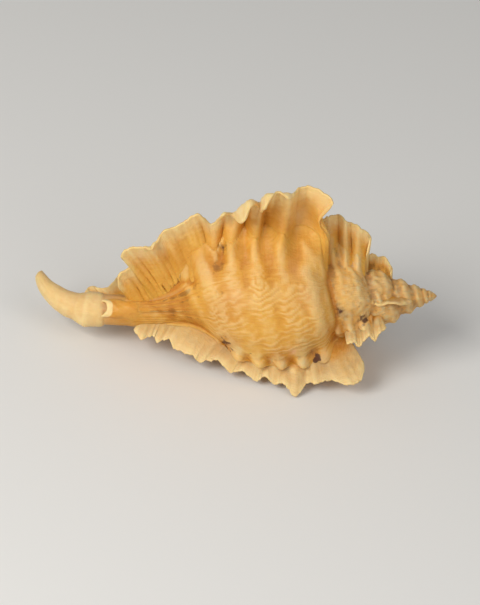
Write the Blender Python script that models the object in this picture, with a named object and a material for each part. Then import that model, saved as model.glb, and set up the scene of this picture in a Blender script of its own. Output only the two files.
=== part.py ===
"""A three-winged murex shell, grown as one piece, lying on its aperture side.

The shapes are worked out in millimetres in the shell's own frame. `a` runs along the coiling axis from the
apex to the end of the canal. An angle about that axis is 0 degrees on the side that shows best and 90 on
that side's upper edge, and the whorls grow up through the angles, widening by the same factor each turn,
so one profile, scaled, makes them all. The finished solid is laid down, and stands on Z = 0 in metres.
"""

import math

import bpy
import numpy as np

MM = 0.001

# The whorls: sizes are those at the lip, in millimetres, and angles are in degrees
WHORL_GROWTH = 1.6
TURNS = 7
LIP_ANGLE = 168.0
PROFILE = [(19.5, 0.0), (21.2, 5.0), (22.1, 8.4), (24.5, 12.2), (28.5, 14.1), (34.0, 14.6), (39.0, 14.3),
           (42.1, 13.6), (45.0, 12.5), (49.2, 8.8), (51.4, 6.4), (55.0, 4.1), (60.6, 3.0), (80.0, 2.2)]
NECK_START, NECK_END = 50.0, 58.0
SPIRE_CORE = [(0.0, 0.2), (0.6, 0.5), (1.5, 0.95), (2.5, 1.3), (4.2, 1.8), (7.0, 2.7), (10.0, 3.8), (19.5, 6.0)]
SPIRE_SWELL = 0.16
CORD_FIRST, CORD_STEP, CORD_COUNT, CORD_HEIGHT = 26.9, 4.1, 5, 0.35
VARIX_ANGLES = [168.0, 56.0, -68.0, -180.0, -292.0, -408.0, -520.0, -634.0, -730.0, -848.0, -966.0]
VARIX_SWELL = 3.0
SWELL_START, SWELL_END = 52.0, 14.0
PINCH_DEPTH = 2.4
PIT_SHARE = 0.8
LIP_FALL = 46.0

# The siphonal canal: its middle leaves the axis towards one angle, as pairs of distance along and amount
BEND_ANGLE = 120.0
CANAL_OFFSET = [(0.0, 0.0), (48.0, 0.0), (51.0, 0.15), (55.0, 0.45), (58.4, 0.8), (60.5, 1.3), (62.6, 2.3),
                (64.4, 3.8), (66.0, 5.8), (67.0, 8.0)]
CANAL_RADIUS = [(0.0, 0.0), (40.0, 2.0), (46.0, 2.6), (55.0, 2.6), (59.2, 2.6), (60.5, 2.35), (62.6, 2.1),
                (64.4, 1.8), (66.0, 1.35), (67.0, 0.9)]

# Each wing: its angle about the axis, how far its outer half curls back, how much its ribs thicken at the
# root, and its ribs from the suture end to the canal end. A rib is where its root and its rim lie along the
# axis, how far the rim is from the axis, and how far its middle and its rim are folded towards the back.
WINGS = {
    "lip": {
        "angle": 168.0, "twist": -24.0, "curl": 1.5, "buttress": 0.5, "rows": 4,
        "ribs": [(22.0, 20.4, 20.4, 0.6, 1.2), (23.6, 21.8, 22.6, -0.8, -0.6), (26.4, 24.6, 22.2, 0.7, 0.2),
                 (29.0, 27.6, 23.6, -0.8, 0.9), (31.2, 29.8, 22.6, 0.7, -0.2), (33.4, 32.2, 23.9, -0.8, 0.9),
                 (35.4, 34.4, 22.4, 0.7, -0.2), (37.6, 36.8, 23.3, -0.8, 0.8), (39.6, 39.2, 21.0, 0.7, -0.2),
                 (41.6, 41.8, 20.6, -0.6, 0.7), (43.6, 44.2, 17.6, 0.6, -0.2), (45.2, 46.6, 15.8, -0.4, 0.5),
                 (46.8, 48.8, 11.8, 0.4, -0.1), (48.6, 51.2, 8.2, -0.2, 0.2), (50.4, 53.3, 8.4, 0.0, 0.3),
                 (52.4, 55.4, 4.8, 0.0, 0.0), (54.8, 58.2, 4.9, 0.0, 0.2), (57.0, 59.4, 3.2, 0.0, 0.0)]},
    "second": {
        "angle": 56.0, "twist": 0.0, "curl": 1.2, "buttress": 0.5, "rows": 5,
        "ribs": [(18.6, 17.1, 21.0, 0.7, 1.6), (19.8, 17.6, 21.8, 0.3, 0.6), (22.0, 20.5, 22.8, -1.2, -1.2),
                 (24.4, 22.6, 22.9, -1.0, -0.8), (26.4, 24.0, 23.4, 1.0, 0.8), (28.0, 26.2, 24.2, -0.3, 1.6),
                 (29.2, 28.2, 23.8, -0.9, 1.4), (30.8, 29.3, 21.4, 0.8, 0.0), (32.6, 31.0, 23.2, -1.0, 1.7),
                 (34.6, 33.5, 19.8, 0.8, 0.1), (35.8, 35.2, 20.4, -0.7, 1.0), (36.8, 37.2, 17.2, 0.5, -0.2),
                 (37.8, 39.3, 19.8, -0.4, 0.7), (38.8, 41.4, 18.4, 0.3, 0.3), (40.0, 43.5, 17.2, -0.4, 0.3),
                 (41.2, 45.1, 16.8, 0.5, 0.6), (42.4, 46.3, 14.6, -0.5, -0.3), (43.8, 48.2, 14.2, 0.5, 0.9),
                 (45.2, 51.1, 13.9, -0.3, 0.9), (46.4, 52.4, 12.0, 0.3, 0.4), (47.6, 50.9, 9.5, -0.3, -0.4),
                 (49.4, 53.0, 8.6, 0.2, 0.5), (51.4, 53.2, 5.4, 0.0, 0.0)]},
    "third": {
        "angle": -68.0, "twist": 0.0, "curl": 0.5, "buttress": 1.5, "rows": 5,
        "ribs": [(15.8, 15.0, 8.6, 0.0, 0.1), (16.5, 13.2, 11.4, 0.0, 0.3), (17.4, 13.9, 14.2, 0.0, 0.0),
                 (18.8, 15.7, 15.0, -0.3, -0.3), (20.4, 18.9, 14.0, -0.2, 0.1), (21.6, 21.2, 14.4, -0.4, -0.2),
                 (22.8, 22.8, 14.2, 0.6, 0.2), (24.2, 24.7, 16.4, -0.3, 0.1), (26.0, 26.6, 14.1, 0.7, -0.2),
                 (27.4, 28.2, 13.9, -0.5, 0.3), (28.8, 29.4, 12.8, 0.7, -0.2), (30.0, 31.2, 13.2, -0.5, 0.3),
                 (31.2, 33.2, 11.6, 0.6, -0.2), (32.6, 35.2, 11.4, -0.3, 0.3), (34.4, 37.4, 9.4, 0.2, -0.2),
                 (36.4, 40.3, 9.6, -0.2, 0.2), (38.4, 41.6, 8.0, 0.2, -0.2), (40.4, 44.3, 6.9, -0.1, 0.2),
                 (42.6, 45.3, 5.1, 0.1, -0.1), (44.8, 47.2, 5.4, 0.0, 0.2), (46.6, 48.0, 4.2, 0.0, 0.0),
                 (48.2, 49.7, 4.8, 0.0, 0.1), (49.8, 51.2, 3.2, 0.0, 0.0)]},
    "fourth": {
        "angle": -180.0, "twist": 0.0, "curl": 0.3, "buttress": 0.3, "rows": 3,
        "ribs": [(14.0, 12.6, 10.4, 0.2, 0.3), (15.2, 13.6, 12.2, -0.3, -0.3), (16.8, 15.8, 12.6, 0.3, 0.4),
                 (18.4, 18.0, 11.8, -0.3, -0.4), (20.0, 20.4, 12.2, 0.3, 0.4), (21.8, 22.6, 11.4, -0.2, -0.3),
                 (24.0, 24.4, 9.8, 0.0, 0.2)]},
    "fifth": {
        "angle": 68.0, "twist": 0.0, "curl": 0.8, "buttress": 0.3, "rows": 3,
        "ribs": [(12.0, 11.7, 8.4, 0.3, 0.6), (12.5, 11.0, 11.4, -0.2, -0.2), (13.3, 12.9, 13.6, 0.4, 0.5),
                 (14.2, 14.1, 13.9, -0.5, -0.3), (15.2, 15.0, 14.9, 0.5, 0.5), (16.2, 16.2, 15.6, -0.5, -0.3),
                 (17.4, 17.8, 15.6, 0.4, 0.4), (18.8, 19.6, 14.4, 0.0, 0.0)]},
    "sixth": {
        "angle": -48.0, "twist": 0.0, "curl": 0.2, "buttress": 0.9, "rows": 3,
        "ribs": [(10.0, 9.0, 6.2, 0.0, 0.1), (10.6, 10.2, 7.7, -0.2, -0.2), (11.5, 11.0, 8.7, 0.3, 0.3),
                 (12.3, 12.0, 8.1, -0.3, -0.3), (13.0, 12.9, 9.0, 0.1, 0.1), (13.8, 13.8, 9.9, 0.3, 0.3),
                 (14.8, 14.6, 9.3, -0.3, -0.3), (16.2, 15.8, 9.4, 0.0, 0.0)]},
    "seventh": {
        "angle": 200.0, "twist": 0.0, "curl": 0.2, "buttress": 0.2, "rows": 2,
        "ribs": [(8.8, 8.2, 6.4, 0.0, 0.2), (9.8, 9.6, 7.8, 0.0, -0.3), (11.2, 11.2, 8.0, 0.0, 0.3),
                 (12.6, 13.0, 7.6, 0.0, -0.2), (14.0, 14.6, 7.0, 0.0, 0.0)]},
    "eighth": {
        "angle": 86.0, "twist": 0.0, "curl": 0.3, "buttress": 0.2, "rows": 2,
        "ribs": [(7.7, 7.7, 3.8, 0.0, 0.2), (8.0, 7.5, 5.1, 0.0, -0.1), (8.7, 8.4, 6.7, 0.0, 0.3),
                 (9.6, 9.5, 7.0, 0.0, -0.3), (10.6, 10.9, 7.6, 0.0, 0.3), (12.0, 12.2, 7.0, 0.0, 0.0)]},
    "ninth": {
        "angle": -8.0, "twist": 0.0, "curl": 0.1, "buttress": 0.3, "rows": 2,
        "ribs": [(5.8, 4.4, 3.6, 0.0, 0.0), (6.8, 6.0, 5.2, 0.0, 0.2), (8.2, 8.2, 5.9, 0.0, -0.2),
                 (9.6, 9.8, 5.9, 0.0, 0.1), (10.6, 10.8, 5.2, 0.0, 0.0)]},
}
ROOT_DEPTH = 1.3
ROOT_FLARE = 0.9
ROOT_THICKNESS = 0.95
RIM_THICKNESS = 0.5

# How the shell lies at rest: it is turned about its axis, then tipped along it
REST_ROLL = 33.3
REST_TIP = 8.05

# The aperture faces away from the best side. Its middle and its half sizes, in the shell's frame
APERTURE_ALONG = 36.0
APERTURE_MIDDLE = (-8.4, -0.4)
APERTURE_FACING = 246.0
APERTURE_HALF = (5.8, 3.9, 6.4)
LIP_HALF = (7.2, 5.3, 2.3)
SLIT_ANGLE = 236.0
SLIT_START, SLIT_END = 40.5, 65.0
SLIT_WIDTH, SLIT_DEPTH = 0.6, 0.9

# The end of the canal of an earlier lip, left standing on the new canal
STUB_START = (46.5, 0.4, -0.6)
STUB_END = (56.4, 2.0, 0.75)
STUB_RADII = (2.3, 1.45)
STUB_HOLE = (0.85, 1.6)

SHELL_COLOUR = (0.74, 0.42, 0.14, 1.0)
SHELL_ROUGHNESS = 0.38

# Steps of the meshes
RING_POINTS = 32
SPIRE_RINGS = 26
BODY_RINGS = 36
RIB_STEPS = 2


def smooth_curve(x, points):
    """A cubic through the points, which stays level beyond the last ones."""
    xs, ys = np.array(points, float).T
    slopes = np.gradient(ys, xs)
    x = np.clip(x, xs[0], xs[-1])
    i = np.clip(np.searchsorted(xs, x, side="right") - 1, 0, len(xs) - 2)
    step = xs[i + 1] - xs[i]
    t = (x - xs[i]) / step
    return ((1 + 2 * t) * (1 - t) ** 2 * ys[i] + t * (1 - t) ** 2 * step * slopes[i]
            + t * t * (3 - 2 * t) * ys[i + 1] + t * t * (t - 1) * step * slopes[i + 1])


def smooth_step(low, high, x):
    t = np.clip((x - low) / (high - low), 0, 1)
    return t * t * (3 - 2 * t)


def whorl_size(growth):
    """How large the shell was when its lip stood at this angle of growth, with 1 for the last lip."""
    return WHORL_GROWTH ** ((growth - LIP_ANGLE) / 360)


def cord_waves(place):
    """1 on the crest of a cord that runs round the whorl, -1 between two cords, and 0 away from them."""
    phase = (place - CORD_FIRST) / CORD_STEP
    return np.cos(2 * math.pi * phase) * ((phase > -0.75) & (phase < CORD_COUNT - 0.25))


def varix_swell(growth, place):
    """What each varix adds to the whorl: a flare up to it, then knobs and pits, and a pinched shoulder."""
    swell = np.zeros_like(place)
    for angle in VARIX_ANGLES:
        past = growth - angle
        flare = smooth_step(-SWELL_START, 10, past) ** 1.6 * (1 - smooth_step(0, SWELL_END, past))
        pit = PIT_SHARE * (0.5 - 0.5 * cord_waves(place)) * smooth_step(0, 5, past)
        pinch = smooth_step(2, 10, past) * (1 - smooth_step(14, 50, past)) * (1 - smooth_step(25, 34, place))
        swell += VARIX_SWELL * flare * (1 - pit) * smooth_step(21, 26, place) - PINCH_DEPTH * pinch
    return swell


def whorl_radius(growth, a):
    """Distance from the axis to the whorl that was grown at this angle."""
    size = whorl_size(growth)
    place = a / size
    return size * (smooth_curve(place, PROFILE) + varix_swell(growth, place) + CORD_HEIGHT * cord_waves(place))


def body_radius(angle, a):
    """Distance from the axis, or from the canal's middle, to the outside of the shell without its wings."""
    past_lip = np.mod(angle - LIP_ANGLE, 360)
    growth = LIP_ANGLE - np.mod(LIP_ANGLE - angle, 360)
    radius = smooth_curve(a, SPIRE_CORE) * (a < SPIRE_CORE[-1][0])
    for turn in range(TURNS):
        radius = np.maximum(radius, whorl_radius(growth - 360 * turn, a))
    lip = whorl_radius(np.full_like(growth, LIP_ANGLE), a)
    radius += np.maximum(lip - radius, 0) * (1 - smooth_step(0, LIP_FALL, past_lip))
    radius *= (1 + SPIRE_SWELL * (1 - smooth_step(2, 10, a))) * (1 - smooth_step(NECK_START, NECK_END, a))
    return np.maximum(radius, smooth_curve(a, CANAL_RADIUS))


def shell_points(along, across, angle):
    """Points of the shell's frame, which are along its axis, near the viewer, and up."""
    return np.stack([along, across * np.cos(np.radians(angle)), across * np.sin(np.radians(angle))], -1)


def canal_points(along, across, angle):
    """As shell_points, but about the middle of the canal, with each ring square to it."""
    offset = smooth_curve(along, CANAL_OFFSET)
    slope = np.arctan((smooth_curve(along + 0.1, CANAL_OFFSET) - smooth_curve(along - 0.1, CANAL_OFFSET)) / 0.2)
    turned = np.radians(angle - BEND_ANGLE)
    bend = offset + across * np.cos(turned) * np.cos(slope)
    side = across * np.sin(turned)
    forward = along - across * np.cos(turned) * np.sin(slope)
    c, s = math.cos(math.radians(BEND_ANGLE)), math.sin(math.radians(BEND_ANGLE))
    return np.stack([forward, bend * c - side * s, bend * s + side * c], -1)


def mesh_object(name, points, faces):
    mesh = bpy.data.meshes.new(name)
    mesh.from_pydata((laid_down(points) * MM).tolist(), [], faces)
    mesh.validate()
    obj = bpy.data.objects.new(name, mesh)
    bpy.context.scene.collection.objects.link(obj)
    return obj


def laid_down(points):
    """The shell's frame turned to how it lies, with the apex to +X and the best side up and to -Y."""
    along, near, up = np.moveaxis(np.asarray(points, float), -1, 0)
    roll, tip = math.radians(REST_ROLL), math.radians(REST_TIP)
    x = -along
    y = -near * math.cos(roll) + up * math.sin(roll)
    z = near * math.sin(roll) + up * math.cos(roll)
    return np.stack([x * math.cos(tip) - z * math.sin(tip), y, x * math.sin(tip) + z * math.cos(tip)], -1)


def grid_faces(rows, columns, first=0, around=False, flip=False):
    faces = []
    for row in range(rows - 1):
        for column in range(columns - (0 if around else 1)):
            right = (column + 1) % columns
            corners = [first + row * columns + column, first + row * columns + right,
                       first + (row + 1) * columns + right, first + (row + 1) * columns + column]
            faces.append(corners[::-1] if flip else corners)
    return faces


def make_body():
    spire = np.geomspace(0.35, PROFILE[0][0], SPIRE_RINGS, endpoint=False)
    body = np.linspace(PROFILE[0][0], CANAL_OFFSET[-1][0], BODY_RINGS)
    along, angle = np.meshgrid(np.append(spire, body), np.linspace(0, 360, RING_POINTS, endpoint=False),
                               indexing="ij")
    points = canal_points(along, body_radius(angle, along), angle).reshape(-1, 3)
    rings = SPIRE_RINGS + BODY_RINGS
    apex, tip = len(points), len(points) + 1
    end = points[-RING_POINTS:].mean(0)
    ahead = end - points[-2 * RING_POINTS:-RING_POINTS].mean(0)
    ends = [[0, 0, 0], end + 0.5 * ahead / np.linalg.norm(ahead)]
    faces = grid_faces(rings, RING_POINTS, around=True)
    for column in range(RING_POINTS):
        right = (column + 1) % RING_POINTS
        faces.append([apex, right, column])
        faces.append([tip, apex - RING_POINTS + column, apex - RING_POINTS + right])
    return mesh_object("shell", np.vstack([points, ends]), faces)


def make_wing(name, wing):
    ribs = np.array(wing["ribs"])
    count = RIB_STEPS * (len(ribs) - 1) + 1
    place = np.linspace(0, len(ribs) - 1, count)
    root, rim, reach, fold, lip = (smooth_curve(place, list(enumerate(rib)))[:, None] for rib in ribs.T)
    out = np.linspace(0, 1, wing["rows"] + 1)[None, :]
    angle = wing["angle"] + wing["twist"] * smooth_step(44, 57, rim)
    root_across = body_radius(angle, root) - ROOT_DEPTH
    along = root + (rim - root) * out
    across = root_across + (reach - root_across) * out
    normal = np.stack([0 * angle, -np.sin(np.radians(angle)), np.cos(np.radians(angle))], -1)
    side = wing["curl"] * out ** 2 + fold * np.sin(math.pi * out ** 0.8) + lip * out ** 3
    middle = shell_points(along, across, angle) - side[..., None] * normal
    half = 0.5 * (RIM_THICKNESS + (ROOT_THICKNESS - RIM_THICKNESS) * (1 - out) + ROOT_FLARE * (1 - out) ** 4)
    swell = wing["buttress"] * np.clip(fold, 0, None) * (1 - out) ** 1.5
    return closed_sheet(name, middle + (half + swell)[..., None] * normal,
                        middle - (half + 0 * fold)[..., None] * normal)


def closed_sheet(name, front, back):
    """A thick sheet between two grids of points, the front one further round, closed round its border."""
    rows, columns = front.shape[:2]
    size = rows * columns
    faces = grid_faces(rows, columns, flip=True) + grid_faces(rows, columns, first=size)
    border = ([(0, c) for c in range(columns)] + [(r, columns - 1) for r in range(1, rows)]
              + [(rows - 1, c) for c in range(columns - 2, -1, -1)] + [(r, 0) for r in range(rows - 2, 0, -1)])
    loop = [row * columns + column for row, column in border]
    for this, following in zip(loop, loop[1:] + loop[:1]):
        faces.append([this, following, following + size, this + size])
    return mesh_object(name, np.vstack([front.reshape(-1, 3), back.reshape(-1, 3)]), faces)


def turned(name, rings, points=16):
    """A closed solid of round rings, each given as its middle and its two half axes."""
    turn = np.linspace(0, 2 * math.pi, points, endpoint=False)[:, None]
    rows = [middle + np.cos(turn) * first + np.sin(turn) * second for middle, first, second in rings]
    faces = grid_faces(len(rows), points, around=True)
    faces.append(list(range(points))[::-1])
    faces.append([(len(rows) - 1) * points + i for i in range(points)])
    return mesh_object(name, np.vstack(rows), faces)


def make_oval(name, half):
    """An egg-shaped solid at the aperture, from half sizes along the axis, across it and into the shell."""
    facing = math.radians(APERTURE_FACING)
    out = np.array([0, math.cos(facing), math.sin(facing)])
    across = np.array([0, -math.sin(facing), math.cos(facing)])
    middle = np.array([APERTURE_ALONG, *APERTURE_MIDDLE])
    rings = []
    for level in np.radians([-80, -55, -28, 0, 28, 55, 80]):
        size = math.cos(level)
        rings.append((middle + out * half[2] * math.sin(level), np.array([half[0] * size, 0, 0]),
                      -across * half[1] * size))
    return turned(name, rings, 20)


def make_slit():
    along = np.linspace(SLIT_START, SLIT_END, 12)[:, None] + np.zeros((1, 2))
    radius = smooth_curve(along, CANAL_RADIUS)
    across = radius + np.array([[-SLIT_DEPTH, 1.5]])
    spread = np.degrees(SLIT_WIDTH / 2 / radius)
    return closed_sheet("canal_slit", canal_points(along, across, SLIT_ANGLE + spread),
                        canal_points(along, across, SLIT_ANGLE - spread))


def make_stub(name, radii, start, end):
    start, end = np.array(start), np.array(end)
    way = (end - start) / np.linalg.norm(end - start)
    side = np.cross(way, [0, 1, 0])
    side /= np.linalg.norm(side)
    up = np.cross(way, side)
    rings = [(start + (end - start) * t, side * r, up * r)
             for t, r in zip((0, 0.5, 1), (radii[0], sum(radii) / 2, radii[1]))]
    return turned(name, rings, 12)


def shell_material():
    material = bpy.data.materials.new("honey_shell")
    material.use_nodes = True
    shader = material.node_tree.nodes["Principled BSDF"]
    shader.inputs["Base Color"].default_value = SHELL_COLOUR
    shader.inputs["Roughness"].default_value = SHELL_ROUGHNESS
    shader.inputs["Metallic"].default_value = 0.0
    material.diffuse_color = SHELL_COLOUR
    return material


def combine(obj, other, operation):
    """Adds or cuts away a closed piece. The EXACT solver loses the whorls at the fifth wing, so none uses it."""
    boolean = obj.modifiers.new(other.name, "BOOLEAN")
    boolean.object = other
    boolean.operation = operation
    boolean.solver = "MANIFOLD"
    other.hide_render = True
    other.display_type = "WIRE"


def main():
    for obj in list(bpy.data.objects):
        bpy.data.objects.remove(obj, do_unlink=True)
    shell = make_body()
    shell.data.materials.append(shell_material())
    grown = [make_wing(name + "_wing", wing) for name, wing in WINGS.items()]
    grown.append(make_oval("aperture_lip", LIP_HALF))
    grown.append(make_stub("old_canal", STUB_RADII, STUB_START, STUB_END))
    start, end = np.array(STUB_START), np.array(STUB_END)
    way = (end - start) / np.linalg.norm(end - start)
    hollows = [make_oval("aperture", APERTURE_HALF), make_slit(),
               make_stub("old_canal_hole", (STUB_HOLE[0] * 0.7, STUB_HOLE[0]), end - way * STUB_HOLE[1],
                         end + way)]
    corners = np.array([obj.bound_box for obj in [shell] + grown]).reshape(-1, 3)
    low, high = corners.min(0), corners.max(0)
    for obj in [shell] + grown + hollows:
        obj.location = (-(low[0] + high[0]) / 2, -(low[1] + high[1]) / 2, -low[2])
    for other in grown:
        combine(shell, other, "UNION")
    for other in hollows:
        combine(shell, other, "DIFFERENCE")


main()
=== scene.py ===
# %% [markdown]
# # A three-winged murex shell
#
# A sea snail builds its shell by adding a thin band at the lip, again and again. Every third of a turn it
# rests there and flares the lip out into a frilled wing, so a grown shell carries three rows of wings.
# This lesson dresses the plain solid of that shell: the same rules of growth are drawn again, far finer,
# and then given the colours and the gloss of a worn honey-coloured shell.
#
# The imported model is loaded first. It is the frame that everything has to fit, and it stays untouched.

# %% Load the frame
import math

import bpy
import numpy as np
from mathutils import Matrix, Vector, noise


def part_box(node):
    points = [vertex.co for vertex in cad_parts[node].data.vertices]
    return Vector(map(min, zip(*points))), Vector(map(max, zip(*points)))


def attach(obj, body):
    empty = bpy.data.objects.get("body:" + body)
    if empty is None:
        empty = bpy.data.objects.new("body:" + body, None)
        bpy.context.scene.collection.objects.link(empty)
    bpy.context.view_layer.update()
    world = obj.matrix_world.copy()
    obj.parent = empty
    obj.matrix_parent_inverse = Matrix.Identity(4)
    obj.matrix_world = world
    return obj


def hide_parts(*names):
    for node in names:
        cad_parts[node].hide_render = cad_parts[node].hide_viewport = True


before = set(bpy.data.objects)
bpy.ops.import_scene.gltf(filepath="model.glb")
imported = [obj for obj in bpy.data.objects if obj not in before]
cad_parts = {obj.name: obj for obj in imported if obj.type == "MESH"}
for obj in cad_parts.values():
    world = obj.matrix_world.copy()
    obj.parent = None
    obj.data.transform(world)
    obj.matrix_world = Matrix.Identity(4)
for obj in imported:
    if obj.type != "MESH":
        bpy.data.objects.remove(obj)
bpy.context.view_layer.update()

MM = 0.001
low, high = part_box("shell")
print("the solid is", [round(1000 * side, 1) for side in high - low], "mm")

# %% [markdown]
# ## Where the shell lies
#
# The shell lies on its mouth, rolled about its own axis and tipped along it. All the shapes below are
# worked out in the shell's own frame, in millimetres: along the axis from the apex, near the viewer, and
# up. One function turns those into the frame of the model. Turning points in one place is simpler than
# turning objects, because each object can then stay at the origin, with its place in its vertices.

# %% The shell's own frame
REST_ROLL = math.radians(33.3)
REST_TIP = math.radians(8.05)


def laid_down(points):
    """From the shell's frame, in millimetres, to how it lies, with the apex to +X."""
    along, near, up = np.moveaxis(np.asarray(points, float), -1, 0)
    x = -along
    y = -near * math.cos(REST_ROLL) + up * math.sin(REST_ROLL)
    z = near * math.sin(REST_ROLL) + up * math.cos(REST_ROLL)
    return np.stack([x * math.cos(REST_TIP) - z * math.sin(REST_TIP), y,
                     x * math.sin(REST_TIP) + z * math.cos(REST_TIP)], -1)


corners = np.array([corner.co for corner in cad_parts["shell"].data.vertices])
apex = corners[corners[:, 0].argmax()] / MM
print("the apex is at", apex.round(2), "mm")

# %% [markdown]
# ## Growth
#
# The shell widens by the same factor in each turn, so one profile, scaled, draws all seven whorls. The
# profile could be a curve object, but a function of numbers lets the cords, swellings and pits be added
# to it before any mesh is made. Below, growth is the angle at which a bit of shell was grown, which is 168
# degrees at the lip and falls by 360 a turn, and place is where the bit lies along the axis once it is
# scaled up to the last turn.

# %% Curves and steps
WHORL_GROWTH = 1.6
TURNS = 7
LIP_ANGLE = 168.0
PROFILE = [(19.5, 0.0), (21.2, 5.0), (22.1, 8.4), (24.5, 12.2), (28.5, 14.1), (34.0, 14.6), (39.0, 14.3),
           (42.1, 13.6), (45.0, 12.5), (49.2, 8.8), (51.4, 6.4), (55.0, 4.1), (60.6, 3.0), (80.0, 2.2)]
NECK_START, NECK_END = 50.0, 58.0
SPIRE_CORE = [(0.0, 0.2), (0.6, 0.5), (1.5, 0.95), (2.5, 1.3), (4.2, 1.8), (7.0, 2.7), (10.0, 3.8), (19.5, 6.0)]
SPIRE_SWELL = 0.16
CORD_FIRST, CORD_STEP, CORD_COUNT, CORD_HEIGHT = 26.6, 4.9, 5, 0.35
VARIX_ANGLES = [168.0, 56.0, -68.0, -180.0, -292.0, -408.0, -520.0, -634.0, -730.0, -848.0, -966.0]
VARIX_SWELL = 3.0
SWELL_START, SWELL_END = 7.0, 14.0
PINCH_DEPTH = 2.4
PIT_SHARE = 0.8
LIP_FALL = 46.0
BEND_ANGLE = 120.0
CANAL_OFFSET = [(0.0, 0.0), (48.0, 0.0), (51.0, 0.15), (55.0, 0.45), (58.4, 0.8), (60.5, 1.3), (62.6, 2.3),
                (64.4, 3.8), (66.0, 5.8), (67.0, 8.0)]
CANAL_RADIUS = [(0.0, 0.0), (40.0, 2.0), (46.0, 2.6), (55.0, 2.6), (59.2, 2.6), (60.5, 2.35), (62.6, 2.1),
                (64.4, 1.8), (66.0, 1.35), (67.0, 0.9)]


def smooth_curve(x, points):
    """A cubic through the points, which stays level beyond the last ones."""
    xs, ys = np.array(points, float).T
    slopes = np.gradient(ys, xs)
    x = np.clip(x, xs[0], xs[-1])
    i = np.clip(np.searchsorted(xs, x, side="right") - 1, 0, len(xs) - 2)
    step = xs[i + 1] - xs[i]
    t = (x - xs[i]) / step
    return ((1 + 2 * t) * (1 - t) ** 2 * ys[i] + t * (1 - t) ** 2 * step * slopes[i]
            + t * t * (3 - 2 * t) * ys[i + 1] + t * t * (t - 1) * step * slopes[i + 1])


def smooth_step(start, end, x):
    t = np.clip((x - start) / (end - start), 0, 1)
    return t * t * (3 - 2 * t)


def plateau(rise, fall, x):
    """0, then 1 between the rise and the fall, then 0 again; each of them is a start and an end."""
    return smooth_step(*rise, x) * (1 - smooth_step(*fall, x))


def lumps(points, size, seed=0.0):
    """Smooth noise from -1 to 1 over the points, with lumps of about that size."""
    flat = np.asarray(points, float).reshape(-1, 3) / size + seed
    return np.array([noise.noise(Vector(p)) for p in flat.tolist()]).reshape(np.shape(points)[:-1])


print("the first whorl is", round(WHORL_GROWTH ** (1 - TURNS), 3), "of the last")

# %% [markdown]
# ## What the growth leaves on the surface
#
# Three kinds of relief lie on the whorls. Cords run round them. Each varix is a flare that ends in knobs
# and pits on its far side, with the shoulder pinched in past it. Between the wings the surface is rippled
# by growth lines, which sag between the cords like a hem, and which noise makes strong here and faint
# there. They could be a bump map alone, but from the side a real ripple breaks the highlight, so the
# broad ones are mesh and only the fine ones are left to the material.

# %% Cords, flares, pits and ripples
FLARE_PEAK, FLARE_POWER = 10.0, 1.6
PINCH_RISE, PINCH_FALL, PINCH_PLACES = (2, 10), (14, 50), (25, 34)
SHOULDER_PLACES = (21, 26)
CORD_ALWAYS, CORD_BEFORE, CORD_PAST = 0.12, 0.45, 0.9
LINE_STEP, LINE_HEIGHT, LINE_SLANT, LINE_MIDDLE = 5.6, 0.2, 1.2, 30.0
LINE_PLACES, LINE_CALM_PLACES = (20, 24), (44, 52)


def cord_waves(place):
    """1 on the crest of a cord, -1 between two cords, and 0 away from them."""
    phase = (place - CORD_FIRST) / CORD_STEP
    return np.cos(2 * math.pi * phase) * ((phase > -0.75) & (phase < CORD_COUNT - 0.25))


def varix_swell(growth, place):
    """What each varix adds: a flare up to it, then knobs and pits, and a pinched shoulder."""
    swell = np.zeros_like(place)
    for angle in VARIX_ANGLES:
        past = growth - angle
        flare = smooth_step(-SWELL_START, FLARE_PEAK, past) ** FLARE_POWER * (1 - smooth_step(0, SWELL_END, past))
        pit = PIT_SHARE * (0.5 - 0.5 * cord_waves(place)) * smooth_step(0, 5, past)
        pinch = plateau(PINCH_RISE, PINCH_FALL, past) * (1 - smooth_step(*PINCH_PLACES, place))
        shoulder = smooth_step(*SHOULDER_PLACES, place)
        swell += VARIX_SWELL * flare * (1 - pit) * shoulder - PINCH_DEPTH * pinch
    return swell


def cord_strength(growth):
    """Cords stand higher as they climb into each wing's flutes."""
    strength = np.full_like(growth, CORD_ALWAYS)
    for angle in VARIX_ANGLES:
        past = growth - angle
        strength += CORD_BEFORE * plateau((-52, -16), (-3, 3), past) + CORD_PAST * plateau((-3, 3), (8, 26), past)
    return strength


def growth_lines(growth, place, rough):
    """Low overlapping ripples that lean back along the axis and sag between the cords."""
    sag = 0.12 * cord_waves(place) + 0.06 * np.sin(2 * math.pi * place / 2.6 + growth * 0.11)
    phase = (growth + LINE_SLANT * (place - LINE_MIDDLE)) / LINE_STEP + sag + 1.8 * rough
    saw = np.mod(phase, 1)
    return saw ** 1.2 * (1 - smooth_step(0.7, 1.0, saw))


def whorl_radius(growth, along, rough=None):
    """Distance from the axis to the whorl that was grown at this angle."""
    size = WHORL_GROWTH ** ((growth - LIP_ANGLE) / 360)
    place = along / size
    relief = CORD_HEIGHT * cord_waves(place) * cord_strength(growth)
    if rough is not None:
        patchy = np.clip(0.55 + 2.0 * rough, 0.15, 1.3)
        calm = smooth_step(*LINE_PLACES, place) * (1 - 0.65 * smooth_step(*LINE_CALM_PLACES, place))
        relief += LINE_HEIGHT * growth_lines(growth, place, rough) * calm * patchy
    return size * (smooth_curve(place, PROFILE) + varix_swell(growth, place) + relief)


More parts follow.
